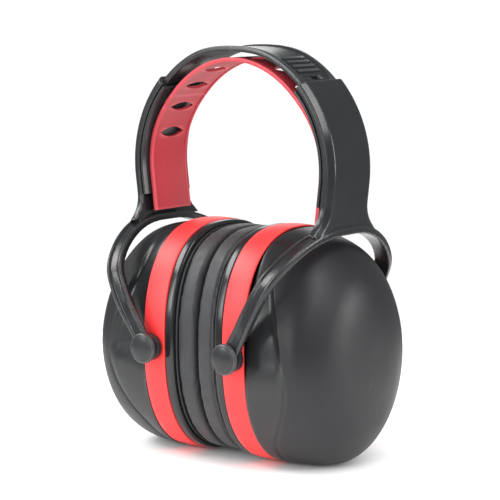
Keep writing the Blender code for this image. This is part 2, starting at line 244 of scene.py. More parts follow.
def skin(sections, closed=False, caps=True):
    """Points and faces of a skin over equally long rings."""
    sections = np.asarray(sections, float)
    rows, columns = sections.shape[:2]
    faces = []
    for i in range(rows if closed else rows - 1):
        a, b = i * columns, (i + 1) % rows * columns
        for j in range(columns):
            k = (j + 1) % columns
            faces.append((a + j, a + k, b + k, b + j))
    if caps and not closed:
        faces.append(tuple(range(columns)))
        faces.append(tuple(range((rows - 1) * columns, rows * columns)))
    return sections.reshape(-1, 3), faces


def rounded(profile, radius, steps=4):
    """A closed 2-D profile with its corners rounded."""
    profile = np.asarray(profile, float)
    done = []
    for i, corner in enumerate(profile):
        before, after = profile[i - 1] - corner, profile[(i + 1) % len(profile)] - corner
        reach_a = min(radius, 0.45 * np.linalg.norm(before))
        reach_b = min(radius, 0.45 * np.linalg.norm(after))
        start = corner + before / np.linalg.norm(before) * reach_a
        end = corner + after / np.linalg.norm(after) * reach_b
        for step in range(steps + 1):
            t = step / steps
            done.append((1 - t) ** 2 * start + 2 * t * (1 - t) * corner + t * t * end)
    return np.array(done)


def applied(piece):
    """The piece with its modifiers made real."""
    graph = bpy.context.evaluated_depsgraph_get()
    mesh = bpy.data.meshes.new_from_object(piece.evaluated_get(graph))
    piece.modifiers.clear()
    old, piece.data = piece.data, mesh
    bpy.data.meshes.remove(old)
    return piece


def cut_with(piece, cutters):
    """Booleans with each cutter, applied, and the cutters removed."""
    for cutter in cutters:
        modifier = piece.modifiers.new("cut", "BOOLEAN")
        modifier.operation = "DIFFERENCE"
        modifier.object = cutter
    applied(piece)
    for cutter in cutters:
        bpy.data.objects.remove(cutter)
    return piece


def smoothstep(value):
    value = np.clip(value, 0, 1)
    return value * value * (3 - 2 * value)


print("a rounded square has", len(rounded(((0, 0), (1, 0), (1, 1), (0, 1)), 0.2)), "points")

# %% [markdown]
# ## Finishes
#
# Every material is built from nodes, with no pictures. Moulded plastic is a dark colour
# under a faint spark-eroded grain: fine noise moves the surface a few hundredths of a
# millimetre, and a slower noise makes it a little shinier here and there, as handling does.
# The pointiness of the mesh lightens its edges where wear has polished them, and on the pin caps
# the much lighter edge colour is also a painted highlight round the bevelled rim.

# %% Plastic


def add_node(tree, kind, **values):
    """A shader node with its settings and, by name, its input values."""
    node = tree.nodes.new(kind)
    for key, value in values.items():
        if key in node.inputs:
            node.inputs[key].default_value = value
        else:
            setattr(node, key, value)
    return node


def noise_of(tree, scale, detail=3.0):
    coordinates = add_node(tree, "ShaderNodeTexCoord")
    noise = add_node(tree, "ShaderNodeTexNoise", Scale=scale, Detail=detail)
    tree.links.new(coordinates.outputs["Object"], noise.inputs["Vector"])
    return noise


def mapped(tree, source, low, high, to_low, to_high):
    """A value taken from one range to another."""
    node = add_node(tree, "ShaderNodeMapRange")
    for socket, value in zip(node.inputs[1:5], (low, high, to_low, to_high)):
        socket.default_value = value
    tree.links.new(source, node.inputs["Value"])
    return node.outputs["Result"]


def add_bump(tree, shader, height, strength, distance, normal=None):
    bump = add_node(tree, "ShaderNodeBump", Strength=strength, Distance=distance)
    tree.links.new(height, bump.inputs["Height"])
    if normal is not None:
        tree.links.new(normal, bump.inputs["Normal"])
    tree.links.new(bump.outputs["Normal"], shader.inputs["Normal"])
    return bump.outputs["Normal"]


def colour_between(tree, shader, factor, dark, light):
    mix = add_node(tree, "ShaderNodeMix", data_type="RGBA")
    mix.inputs["A"].default_value = (*dark, 1)
    mix.inputs["B"].default_value = (*light, 1)
    tree.links.new(factor, mix.inputs["Factor"])
    tree.links.new(mix.outputs["Result"], shader.inputs["Base Color"])


def plastic(name, colour, wear_and_glint_colour, roughness, grain=0.25, spread=0.05, shine=0.5):
    """Moulded plastic: its two colours, its mean roughness, its grain and how far it mirrors."""
    material, tree, shader = node_material(name)
    fine = noise_of(tree, 2600, 2)
    slow = noise_of(tree, 55, 4)
    pointed = add_node(tree, "ShaderNodeNewGeometry").outputs["Pointiness"]
    # Edges lightened by pointiness: wear, and on the pin caps also a painted rim highlight.
    edges = mapped(tree, pointed, 0.50, 0.56, 0, 1)
    colour_between(tree, shader, edges, colour, wear_and_glint_colour)
    rough = mapped(tree, slow.outputs["Fac"], 0.3, 0.7, roughness - spread, roughness + spread)
    tree.links.new(rough, shader.inputs["Roughness"])
    add_bump(tree, shader, fine.outputs["Fac"], grain, 0.00003)
    shader.inputs["Specular IOR Level"].default_value = shine
    return material


black_band = plastic(
    "satin_black", (0.013, 0.014, 0.015), (0.040, 0.041, 0.043), 0.24, 0.2, 0.04
)
black_gloss = plastic(
    "glossy_black", (0.010, 0.011, 0.012), (0.030, 0.031, 0.033), 0.17, 0.08, 0.03
)
black_wall = plastic(
    "wall_black", (0.011, 0.012, 0.013), (0.036, 0.037, 0.039), 0.30, 0.20
)
black_face = plastic(
    "charcoal_face", (0.010, 0.010, 0.012), (0.030, 0.030, 0.034), 0.44, 0.35, shine=0.45
)
black_inner = plastic(
    "matte_black", (0.014, 0.015, 0.016), (0.034, 0.035, 0.036), 0.50, 0.4
)
# The caps' edge colour is far lighter than the other plastics': edge wear plus a painted highlight
# round the bevelled rim.
black_cap = plastic(
    "cap_black", (0.010, 0.011, 0.012), (0.070, 0.070, 0.073), 0.32, 0.4
)
coral_ring = plastic(
    "coral_plastic", (0.880, 0.030, 0.032), (0.940, 0.080, 0.075), 0.40, 0.15, shine=0.4
)
print("plastics:", len(bpy.data.materials) - 1)

# %% [markdown]
# ## Soft finishes
#
# The strap is moulded rubber with a dull skin. The cushions are covered in synthetic
# leather, whose grain is a field of small cells with finer pores in them. The foam is open
# cells all the way down, so its bump is strong and its surface gives no highlight at all.

# %% Rubber, leather, foam and steel


def cells_of(tree, scale):
    coordinates = add_node(tree, "ShaderNodeTexCoord")
    cells = add_node(tree, "ShaderNodeTexVoronoi", Scale=scale)
    tree.links.new(coordinates.outputs["Object"], cells.inputs["Vector"])
    return cells.outputs["Distance"]


def rubber(name, dark, light, roughness):
    material, tree, shader = node_material(name)
    slow, fine = noise_of(tree, 40, 3), noise_of(tree, 1900, 3)
    pointed = add_node(tree, "ShaderNodeNewGeometry").outputs["Pointiness"]
    colour_between(tree, shader, mapped(tree, pointed, 0.49, 0.56, 0, 1), dark, light)
    rough = mapped(tree, slow.outputs["Fac"], 0.3, 0.7, roughness - 0.05, roughness + 0.05)
    tree.links.new(rough, shader.inputs["Roughness"])
    add_bump(tree, shader, fine.outputs["Fac"], 0.25, 0.00004)
    shader.inputs["Subsurface Weight"].default_value = 0.12
    shader.inputs["Subsurface Scale"].default_value = 0.0015
    return material


def leather(name, dark, light):
    material, tree, shader = node_material(name)
    grain, pores = cells_of(tree, 1500), noise_of(tree, 4200, 2)
    creases = noise_of(tree, 160, 5)
    first = add_bump(tree, shader, pores.outputs["Fac"], 0.2, 0.00003)
    second = add_bump(tree, shader, grain, 0.45, 0.00010, first)
    add_bump(tree, shader, creases.outputs["Fac"], 0.25, 0.00035, second)
    colour_between(tree, shader, mapped(tree, grain, 0.1, 0.6, 1, 0), dark, light)
    rough = mapped(tree, creases.outputs["Fac"], 0.3, 0.7, 0.42, 0.58)
    tree.links.new(rough, shader.inputs["Roughness"])
    shader.inputs["Sheen Weight"].default_value = 0.08
    return material


def foam(name, dark, light):
    material, tree, shader = node_material(name)
    cells = cells_of(tree, 900)
    colour_between(tree, shader, mapped(tree, cells, 0.1, 0.6, 0, 1), dark, light)
    add_bump(tree, shader, cells, 1.0, 0.0005)
    shader.inputs["Roughness"].default_value = 0.95
    shader.inputs["Specular IOR Level"].default_value = 0.1
    return material


def brushed_steel(name):
    material, tree, shader = node_material(name)
    coordinates = add_node(tree, "ShaderNodeTexCoord")
    stretch = add_node(tree, "ShaderNodeMapping", Scale=(4000, 60, 4000))
    lines = add_node(tree, "ShaderNodeTexNoise", Scale=1.0, Detail=2.0)
    tree.links.new(coordinates.outputs["Object"], stretch.inputs["Vector"])
    tree.links.new(stretch.outputs["Vector"], lines.inputs["Vector"])
    rough = mapped(tree, lines.outputs["Fac"], 0.3, 0.7, 0.22, 0.4)
    tree.links.new(rough, shader.inputs["Roughness"])
    add_bump(tree, shader, lines.outputs["Fac"], 0.2, 0.00002)
    shader.inputs["Base Color"].default_value = (0.56, 0.57, 0.58, 1)
    shader.inputs["Metallic"].default_value = 1.0
    return material


red_rubber = rubber("red_rubber", (0.40, 0.012, 0.024), (0.60, 0.06, 0.08), 0.45)
cushion_leather = leather("cushion_leather", (0.020, 0.021, 0.023), (0.036, 0.037, 0.040))
dark_foam = foam("open_cell_foam", (0.012, 0.012, 0.013), (0.060, 0.060, 0.062))
spring_steel = brushed_steel("spring_steel")
print("materials:", sorted(m.name for m in bpy.data.materials))

# %% [markdown]
# ## The cup's outline
#
# Seen from the side a cup is neither an ellipse nor a box but between the two, which is
# what a superellipse draws. The lowest part is cut flat, so that the cup can stand.

# %% Outlines and hoops
OUTLINE_COUNT = 240


def superellipse(half_width, top, bottom):
    """(y, z) of an outline, with top and bottom counted from the cup's centre."""
    turn = 2 * np.pi * (np.arange(OUTLINE_COUNT) + 0.5) / OUTLINE_COUNT
    c, s = np.cos(turn), np.sin(turn)
    y = np.sign(c) * np.abs(c) ** (2 / CUP_POWER) * half_width
    z = np.sign(s) * np.abs(s) ** (2 / CUP_POWER) * (top - bottom) / 2 + (top + bottom) / 2
    return np.stack([y, np.maximum(CUP_Z + z, 0)], axis=1)


def inset_ring(x, inset, side):
    half_height = CUP_HALF_HEIGHT - inset
    flat = superellipse(CUP_HALF_WIDTH - inset, half_height, -half_height)
    return np.column_stack([np.full(len(flat), side * x), flat])


def hoop(name, profile, material, side, radius=0.5, steps=4):
    """A hoop round the cup, from a closed profile of (x, inset) with rounded corners."""
    rings = [inset_ring(x, inset, side) for x, inset in rounded(profile, radius, steps)]
    return make_piece(name, *skin(rings, closed=True), material)


def settle(piece, body, slot, *nodes):
    """The piece rides on its body, and the plain parts of its nodes are hidden."""
    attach(piece, body)
    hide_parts(*nodes)


print("cup outline of", OUTLINE_COUNT, "points")

# %% [markdown]
# ## The coral ring
#
# The ring carries the pivots and is the one bright part of the cup. It is a hoop with a
# barely crowned face. A dark hairline on either side comes for free: it is the gap to the
# next part.

# %% Coral ring
RING_DEPTH, RING_CROWN = 5.0, 0.25
for word, side in SIDES.items():
    ring_profile = (
        (RING_INNER_X, RING_CROWN), (RING_INNER_X + 3, 0.06),
        ((RING_INNER_X + RING_OUTER_X) / 2, 0), (RING_OUTER_X - 3, 0.06),
        (RING_OUTER_X, RING_CROWN), (RING_OUTER_X, RING_DEPTH), (RING_INNER_X, RING_DEPTH),
    )
    ring = hoop(f"{word}_coral_ring", ring_profile, coral_ring, side, radius=0.45)
    settle(ring, f"{word}_cup", "ring_plastic", f"{word}_accent_ring")
print("coral rings on", list(SIDES))

# %% [markdown]
# ## Back plate and cushion plate
#
# On the wearer's side of the ring comes a glossy flange with a generous round on its edge,
# which is where the long bright reflection sits. Behind it a thin plate holds the cushion,
# set back so far that it reads as a dark groove.

# %% Plates
EAR_INSET = 22.0
PLATE_RIM = 5.0
PLATE_WEB_X = 14.8
for word, side in SIDES.items():
    outer_x = RING_INNER_X - 0.3
    flange_profile = (
        (PLATE_X, 1.6), (PLATE_X + 0.35, 0.95), (PLATE_X + 1.1, 0.55), (outer_x - 0.5, 0.5),
        (outer_x, 0.9), (outer_x, EAR_INSET), (PLATE_WEB_X, EAR_INSET),
        (PLATE_WEB_X, PLATE_RIM), (PLATE_X, PLATE_RIM),
    )
    flange = hoop(f"{word}_flange", flange_profile, black_gloss, side, radius=0.5, steps=5)
    settle(flange, f"{word}_cup", "shell_plastic", f"{word}_back_plate")
    clip_x = PLATE_WEB_X - 0.3
    clip_profile = (
        (11.2, 2.4), (12.2, 2.4), (12.2, 6.2), (clip_x, 6.2), (clip_x, EAR_INSET),
        (11.2, EAR_INSET),
    )
    clip = hoop(f"{word}_cushion_clip", clip_profile, black_inner, side, radius=0.3)
    settle(clip, f"{word}_cup", "inner_plastic", f"{word}_cushion_plate")
print("flange from", round(PLATE_X, 1), "to", round(outer_x, 1), "mm")

# %% [markdown]
# ## The shell
#
# The shell is drawn as outlines at growing distance from the wearer, joined by a smooth
# curve through all of them. Two things make it look moulded and not inflated. The wall
# between the ring and the face is scooped under the yoke's arms, so that the face has a
# crisp lip at the front and the rear. Lower down the lip fades into a soft valley.
#
# The rows of the mesh follow the lip all the way round, so the edge stays clean at any
# size, and the faces on either side of it can take different finishes.

# %% Shell curves
SHELL_STATIONS = np.array((
    (29.8, 54.1, -55.3, 43.4, 2.43), (31.5, 54.1, -55.3, 43.4, 2.43),
    (38.0, 52.8, -55.3, 43.8, 2.22), (46.0, 51.2, -55.3, 43.9, 2.02),
    (53.0, 48.7, -54.1, 43.1, 1.90), (58.0, 45.1, -51.9, 40.9, 1.86),
    (62.5, 40.1, -48.2, 35.9, 1.88), (66.5, 33.5, -42.4, 29.9, 1.95),
    (69.5, 25.5, -35.0, 22.1, 2.02), (71.2, 15.0, -24.5, 13.2, 2.10),
    (71.8, 5.0, -13.5, 5.3, 2.20),
))
APEX = (71.8, -4.5, -4.5, 0.0, 2.2)
# The lip's distance from the wearer, by the angle down from the cup's top.
LIP = (
    (0, 38.6), (30, 38.8), (43, 40.4), (51, 43.3), (59, 46.2), (71, 49.2), (82, 50.6),
    (95, 51.4), (109, 51.3), (121, 49.2), (131, 44.9), (139, 40.2), (147, 37.0), (155, 35.2),
    (167, 34.2), (180, 34.0),
)


def smooth_table(rows, per_span=24):
    """The rows of a table joined by a smooth curve."""
    rows = np.asarray(rows, float)
    padded = np.vstack([2 * rows[0] - rows[1], rows, 2 * rows[-1] - rows[-2]])
    found = []
    for a, b, c, d in zip(padded, padded[1:], padded[2:], padded[3:]):
        for t in np.arange(per_span) / per_span:
            bend = (2 * a - 5 * b + 4 * c - d) * t * t + (3 * b - a - 3 * c + d) * t ** 3
            found.append((2 * b + (c - a) * t + bend) / 2)
    return np.array(found + [rows[-1]])


shell_curve = smooth_table(np.vstack([SHELL_STATIONS, APEX]))
shell_curve[:, 0] = np.maximum.accumulate(shell_curve[:, 0])
print("shell curve of", len(shell_curve), "outlines")


# %% Shell mesh
WALL_ROWS, LIP_MARGIN = 18, 1.1
LIP_SOFTNESS, SCOOP_DEPTH = 0.16, 2.3
VALLEY_DEPTH, VALLEY_WIDTH = 0.65, 0.95
LIP_OFFSETS = (-0.8, -0.5, -0.3, -0.15, 0.0, 0.15, 0.3, 0.5, 0.8)
FACE_ROWS = 64


def shell_point_rows():
    """Row by row, the place along the shell curve of each column's point."""
    flat = superellipse(CUP_HALF_WIDTH, CUP_HALF_HEIGHT, -CUP_HALF_HEIGHT)
    angle = np.degrees(np.arctan2(np.abs(flat[:, 0]), flat[:, 1] - CUP_Z))
    lip = np.interp(angle, *smooth_table(LIP).T)
    start, end = shell_curve[0, 0], shell_curve[-1, 0]
    wall_end = lip - LIP_MARGIN
    rows = [start + (wall_end - start) * i / WALL_ROWS for i in range(WALL_ROWS + 1)]
    rows += [lip + offset for offset in LIP_OFFSETS]
    for i in range(1, FACE_ROWS + 1):
        share = math.sin(math.pi / 2 * i / FACE_ROWS)
        rows.append(lip + LIP_MARGIN + (end - lip - LIP_MARGIN) * share)
    return np.array(rows), angle, lip


def shell_depth(x, angle, lip):
    """How far the surface is pushed in: the scoop behind the lip and the valley below."""
    before = LIP_SOFTNESS * np.log1p(np.exp(np.clip((lip - x) / LIP_SOFTNESS, -30, 30)))
    run = np.clip(before / (lip - shell_curve[0, 0]), 0, 1)
    upper = smoothstep((angle - 22) / 30) * (1 - smoothstep((angle - 84) / 34))
    # A cubic bump that peaks at 1 a third of the way in has the factor 6.75.
    scoop = SCOOP_DEPTH * upper * 6.75 * run * (1 - run) ** 2
    lower = smoothstep((angle - 95) / 20)
    valley = VALLEY_DEPTH * lower * np.exp(-(((x - lip) / VALLEY_WIDTH) ** 2))
    return scoop + valley


def shell_mesh(side):
    rows, angle, lip = shell_point_rows()
    along = np.linspace(0, 1, len(shell_curve))
    turn = 2 * np.pi * (np.arange(OUTLINE_COUNT) + 0.5) / OUTLINE_COUNT
    c, s = np.cos(turn), np.sin(turn)
    sections = []
    for x in rows:
        place = np.interp(x, shell_curve[:, 0], along)
        top, low, half, power = (np.interp(place, along, column) for column in shell_curve.T[1:])
        depth = shell_depth(x, angle, lip)
        half_y = np.maximum(half - depth, 0)
        half_z = np.maximum((top - low) / 2 - depth, 0)
        y = np.sign(c) * np.abs(c) ** (2 / power) * half_y
        z = np.sign(s) * np.abs(s) ** (2 / power) * half_z + (top + low) / 2
        sections.append(np.column_stack([side * x, y, np.maximum(CUP_Z + z, 0)]))
    return np.array(sections)


# %% Shells
for word, side in SIDES.items():
    sections = shell_mesh(side)
    rim = np.array([inset_ring(x, inset, side) for x, inset in ((29.8, 3.4), (29.8, 0.9))])
    points, faces = skin(np.vstack([rim, sections]), caps=False)
    shell = make_piece(f"{word}_shell", points, faces, black_wall, smooth_angle=60)
    shell.data.materials.append(black_face)
    lip_row = len(rim) + WALL_ROWS + 1 + LIP_OFFSETS.index(0.3)
    for polygon in shell.data.polygons:
        if polygon.index >= lip_row * OUTLINE_COUNT:
            polygon.material_index = 1
    settle(shell, f"{word}_cup", "shell_plastic", f"{word}_outer_shell")
print("shell of", len(points), "points")

# %% [markdown]
# ## Cushions
#
# A cushion is a ring of soft foam in a glued leather cover. It starts as a slightly thin
# hoop, is blown up by cloth simulation with no gravity, and is then kept inside the room
# that the real one has: flat against its plate, flat where it meets the head. The welded
# seam near the plate comes last, because remeshing would have wiped it out.

# %% Cushion simulation
CUSHION_NEAR, CUSHION_FAR = 0.35, 10.95
CUSHION_INSET, CUSHION_INNER = 1.4, 23.0
MOST_SWELL, CUSHION_VOXEL = 1.6, 1.7
MEAN_HALF_SIZE = 49.5
SEAM_X, SEAM_DEPTH, SEAM_WIDTH = 9.4, 0.45, 0.5


def blown_up(piece, frames=20):
    """The cloth recipe: remesh, inflate without gravity, and make the result real."""
    remesh = piece.modifiers.new("even_mesh", "REMESH")
    remesh.mode = "VOXEL"
    remesh.voxel_size = CUSHION_VOXEL * MM
    applied(piece)
    rest = np.array([v.co for v in piece.data.vertices]) / MM
    cloth = piece.modifiers.new("cloth", "CLOTH")
    cloth.settings.use_pressure = True
    cloth.settings.uniform_pressure_force = 4
    cloth.settings.effector_weights.gravity = 0
    scene = bpy.context.scene
    for number in range(1, frames + 1):
        scene.frame_set(number)
    graph = bpy.context.evaluated_depsgraph_get()
    blown = bpy.data.meshes.new_from_object(piece.evaluated_get(graph))
    piece.modifiers.clear()
    piece.data = blown
    scene.frame_set(1)
    now = np.array([v.co for v in blown.vertices]) / MM
    move = now - rest
    size = np.linalg.norm(move, axis=1, keepdims=True)
    return rest + move * np.minimum(1, MOST_SWELL / np.maximum(size, 1e-9))


def cup_radius(points):
    """Each point's place as a share of the cup's outline at that inset: 1 on the outline."""
    y, z = points[:, 1] / CUP_HALF_WIDTH, (points[:, 2] - CUP_Z) / CUP_HALF_HEIGHT
    return (np.abs(y) ** CUP_POWER + np.abs(z) ** CUP_POWER) ** (1 / CUP_POWER)


def cushion_section():
    """The starting section, a little inside its room."""
    low_x, high_x, low, high = CUSHION_NEAR + 0.4, CUSHION_FAR - 0.2, 1.7, 22.3
    return rounded(((high_x, low), (low_x, low), (low_x, high), (high_x, high)), 2.0, 4)


def soft_most(value, most, softness):
    """The value, bent smoothly so that it never passes the most."""
    bend = most - softness
    curved = most - softness * np.exp(-(np.maximum(value, bend) - bend) / softness)
    return np.where(value < bend, value, curved)


def shape_cushion(points, side):
    """Keeps the swollen cushion in its room and presses the welded seam into it."""
    x = soft_most(points[:, 0] * side, CUSHION_FAR, 0.5)
    x = -soft_most(-x, -CUSHION_NEAR, 0.6)
    share = cup_radius(points)
    most = 1 - CUSHION_INSET / MEAN_HALF_SIZE
    least = 1 - CUSHION_INNER / MEAN_HALF_SIZE
    outer = share > (most + least) / 2
    seam = SEAM_DEPTH * np.exp(-(((x - SEAM_X) / SEAM_WIDTH) ** 2)) / MEAN_HALF_SIZE
    wanted = np.where(outer, soft_most(share, most, 0.022) - seam, np.maximum(share, least))
    scale = (wanted / share)[:, None]
    stretch = np.concatenate([np.ones_like(scale), scale, scale], axis=1)
    flat = (points - CUP_MIDDLE) * stretch + CUP_MIDDLE
    flat[:, 0] = x * side
    return flat


# %% Cushions
for word, side in SIDES.items():
    rings = [inset_ring(x, inset, side)[::2] for x, inset in cushion_section()]
    cushion = make_piece(f"{word}_cushion", *skin(rings, closed=True), cushion_leather)
    points = blown_up(cushion)
    cushion.data.vertices.foreach_set("co", (points * MM).ravel())
    finer = cushion.modifiers.new("finer", "SUBSURF")
    finer.levels = finer.render_levels = 2
    applied(cushion)
    points = np.array([v.co for v in cushion.data.vertices]) / MM
    points = shape_cushion(points, side)
    cushion.data.vertices.foreach_set("co", (points * MM).ravel())
    cushion.data.update()
    cushion.data.shade_smooth()
    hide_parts(f"{word}_ear_cushion")
    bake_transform(cushion)
    print(cushion.name, len(cushion.data.vertices), "points")

# %% [markdown]
# ## Foam inside the cups
#
# Behind the ear a thin crowned sheet closes the cup, and a block of foam fills its bottom.
# They are seen only through the ring of the cushion, when the cups are spread.

# %% Crowned pads
SHEET_ROWS = 14


def crowned_disc(x_back, x_front, inset, bulge, side):
    """A pad whose two faces bulge and whose edge is thin."""
    rings = []
    for x, sign in ((x_back, 1), (x_front, -1)):
        row_order = range(SHEET_ROWS) if sign > 0 else reversed(range(SHEET_ROWS))
        for i in row_order:
            share = (i + 0.4) / (SHEET_ROWS - 0.6)
            ring = (inset_ring(0, inset, side) - CUP_MIDDLE) * share + CUP_MIDDLE
            lift = bulge * (1 - share ** 2)
            ring[:, 0] = side * (x + sign * (lift - bulge))
            rings.append(ring)
    return skin(rings)


# %% Foam sheets and blocks
for word, side in SIDES.items():
    sheet_pad = make_piece(
        f"{word}_ear_sheet", *crowned_disc(20.6, 17.7, 5.8, 0.6, side), dark_foam
    )
    settle(sheet_pad, f"{word}_cup", "foam", f"{word}_inner_sheet")
    block = make_piece(f"{word}_cup_foam", *crowned_disc(62.0, 46.0, 14.0, 3.0, side), dark_foam)
    settle(block, f"{word}_cup", "foam", f"{word}_foam_liner")
print("foam sheets and blocks")

# %% [markdown]
# ## Pins and bushes
#
# Each pivot is a turned pin: a domed cap with a bevelled rim, then a shank through the eye
# of the fork. A profile turned about an axis is the honest way to draw it.

# %% Turned pieces


def turned(name, profile, axis_point, direction, material, count=72):
    """A closed profile of (radius, height) turned about a line."""
    out = Vector(direction).normalized()
    across = out.orthogonal().normalized()
    other = out.cross(across)
    rings = []
    for i in range(count):
        turn = 2 * math.pi * i / count
        spoke = across * math.cos(turn) + other * math.sin(turn)
        rings.append([
            Vector(axis_point) + spoke * radius + out * height for radius, height in profile
        ])
    return make_piece(name, *skin(rings, closed=True), material, smooth_angle=40)


def cap_profile():
    under, top, rim = 49.9, 52.4, 7.2
    dome = [(r, top - 0.55 * (r / 5.7) ** 2) for r in np.linspace(0, 5.7, 10)]
    edge = [
        (5.9, top - 0.70), (6.15, top - 0.62), (6.5, top - 0.72), (6.95, top - 1.15),
        (rim, top - 1.6),
    ]
    shank = [(rim, under + 0.25), (rim - 0.25, under), (2.5, under), (2.5, 40.2), (0, 40.2)]
    return dome + edge + shank


print("cap profile of", len(cap_profile()), "points")

# %% Pins and bushes
for word, side in SIDES.items():
    for place, end in ENDS.items():
        at, out = (side * PIVOT_X, 0, PIVOT_Z), (0, end, 0)
        pin = turned(f"{word}_{place}_pin", cap_profile(), at, out, black_cap)
        settle(pin, f"{word}_cup", "cap_plastic", f"{word}_{place}_pivot_pin")
        bush_profile = rounded(((6.2, 46.8), (6.2, 44.1), (2.8, 44.1), (2.8, 46.8)), 0.35)
        bush = turned(f"{word}_{place}_spacer", bush_profile, at, out, black_inner)
        settle(bush, f"{word}_cup", "inner_plastic", f"{word}_{place}_bush")
print("four pins and four bushes")

# %% [markdown]
# ## Arch sections
#
# The band, the sleeves and the strap all bend round one centre. A section is given as
# (radius, across) and carried to each angle of the arch.

# %% Arch helpers
STEM_ANGLE = -7.0


def on_circle(radius, angle, y, side=1):
    turn = np.radians(angle)
    return (side * radius * np.cos(turn), y, ARCH_Z + radius * np.sin(turn))


def on_arch(radius, angle, y, side=1):
    """As on_circle, but below STEM_ANGLE the arch runs on straight."""
    turn = np.radians(max(angle, STEM_ANGLE))
    run = np.radians(max(STEM_ANGLE - angle, 0)) * SLEEVE_RADIUS
    x = radius * np.cos(turn) + run * np.sin(turn)
    z = radius * np.sin(turn) - run * np.cos(turn)
    return (side * x, y, ARCH_Z + z)


def spaced(start, end, step):
    return np.linspace(start, end, max(2, round(abs(end - start) / step) + 1))


def strip(name, profile_at, span, material, side, step=1.0, place=on_circle):
    """A section carried along the arch; profile_at gives it for each angle."""
    sections = [
        [place(radius, angle, y, side) for radius, y in profile_at(angle)]
        for angle in spaced(*span, step)
    ]
    return make_piece(name, *skin(sections), material)


print("the stem runs straight below", STEM_ANGLE, "degrees")

# %% [markdown]
# ## The headband
#
# The band is one springy strip, recessed between two raised rims. Where the sleeves will
# slide, four ribs cross the recess and a small window lets the click spring in. It is made
# as two halves that meet at the crown.

# %% Band shapes
CROWN_DROP, CROWN_ANGLE = 1.1, 66
BLEND_END_X = 0.041
RIB_ANGLES = (52.5, 56.0, 59.5, 63.0)
RIB_REACH = 0.85
WINDOW_ANGLE, WINDOW_REACH = 47.6, 1.3


def band_radius(angle):
    rise = (min(angle, 180 - angle) - CROWN_ANGLE) / (90 - CROWN_ANGLE)
    return BAND_RADIUS - CROWN_DROP * smoothstep(rise)


def band_profile(angle):
    outer, half = band_radius(angle), BAND_HALF_WIDTH
    corners = (
        (outer - BAND_THICKNESS, half), (outer, half), (outer, half - 2.6),
        (outer - 0.8, half - 3.2), (outer - 0.8, -half + 3.2), (outer, -half + 2.6),
        (outer, -half), (outer - BAND_THICKNESS, -half),
    )
    return rounded(corners, 0.45, 3)


def block_on_arch(name, radii, half_width, span, side, material):
    """A small rounded block lying on the arch."""
    corners = rounded(
        ((radii[0], -half_width), (radii[1], -half_width),
         (radii[1], half_width), (radii[0], half_width)), 0.25, 2,
    )
    return strip(name, lambda angle: corners, span, material, side, step=0.5, place=on_arch)


# %% Band halves
for word, side in SIDES.items():
    half = strip(f"{word}_band_half", band_profile, (90, 10), black_band, side)
    window_span = (WINDOW_ANGLE + WINDOW_REACH, WINDOW_ANGLE - WINDOW_REACH)
    window = block_on_arch("window", (54.9, 58), 2.6, window_span, side, black_band)
    cut_with(half, [window])
    pieces = [half]
    for number, angle in enumerate(RIB_ANGLES):
        radii = (BAND_RADIUS - 1.6, BAND_RADIUS - 0.12)
        span = (angle + RIB_REACH, angle - RIB_REACH)
        pieces.append(block_on_arch(f"rib_{number}", radii, 8.2, span, side, black_band))
    with bpy.context.temp_override(active_object=half, selected_editable_objects=pieces):
        bpy.ops.object.join()
    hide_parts("headband_spring")
    end = (side * BLEND_END_X, 0, (ARCH_Z + 38) * MM)
    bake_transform(half)
print("band halves with", len(RIB_ANGLES), "ribs each")

# %% [markdown]
# ## The comfort strap
#
# The strap is soft rubber, so on the real object it gives way to whatever moves. Here each
# half is two pieces, an upper and a lower one. The slots are lens-shaped, where two arcs cross.

# %% Strap shapes
SLOT_STEP, SLOT_COUNT = 16.5, 10
SLOT_LENGTH, SLOT_WIDTH = 16.4, 5.2
STRAP_SPLIT = 40.5
STRAP_END = -24
STRAP_HALF_WIDTH = 12.8


def strap_radius(angle):
    """The strap keeps off the band over the head and nears the sleeves at its ends."""
    waist = 0.8 * math.sin(2 * math.radians(max(angle, 45))) ** 2
    return STRAP_RADIUS - waist + 1.5 * smoothstep((45 - angle) / 35)


def strap_profile(angle):
    outer = strap_radius(angle)
    inner = outer - STRAP_THICKNESS
    half = STRAP_HALF_WIDTH
    corners = (
        (outer, -half), (outer, half), (inner, half), (inner, half - 1.3),
        (inner + 0.45, half - 1.9), (inner + 0.45, -half + 1.9), (inner, -half + 1.3),
        (inner, -half),
    )
    return rounded(corners, 0.3, 2)


def lens_cutter(angle, side):
    """A lens-shaped rod through the strap, whose long axis lies across it."""
    reach, sag = SLOT_LENGTH / 2, SLOT_WIDTH / 2
    radius = (reach ** 2 + sag ** 2) / (2 * sag)
    sweep = math.asin(reach / radius)
    edge = []
    for sign in (1, -1):
        for t in np.linspace(-sweep, sweep, 14)[:-1]:
            rise = radius * math.cos(t) - radius + sag
            edge.append((sign * radius * math.sin(t), sign * rise))
    turn = math.radians(angle)
    out = np.array([side * math.cos(turn), 0, math.sin(turn)])
    along = np.array([-side * math.sin(turn), 0, math.cos(turn)])
    middle = np.array([0, 0, ARCH_Z])
    rings = [
        [middle + out * r + along * v + np.array([0, u, 0]) for u, v in edge]
        for r in (44, 54)
    ]
    return make_piece("slot", *skin(rings), red_rubber)


# %% Strap pieces
for word, side in SIDES.items():
    spans = {"upper": (90, STRAP_SPLIT), "lower": (STRAP_SPLIT, STRAP_END)}
    for part, span in spans.items():
        piece = strip(
            f"{word}_strap_{part}", strap_profile, span, red_rubber, side, place=on_arch
        )
        slots = [90 - SLOT_STEP * (i + 0.5) for i in range(SLOT_COUNT // 2)]
        cutters = [lens_cutter(angle, side) for angle in slots if span[1] < angle < span[0]]
        cut_with(piece, cutters)
        piece.data.shade_smooth()
        piece.data.set_sharp_from_angle(angle=math.radians(40))
        if part == "upper":
            end = (side * 0.036, 0, (ARCH_Z + 31) * MM)
            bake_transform(piece)
        else:
            end = (side * 0.0475, 0, (ARCH_Z - 8) * MM)
            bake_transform(piece)
        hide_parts("comfort_strap")
print("strap in four pieces")

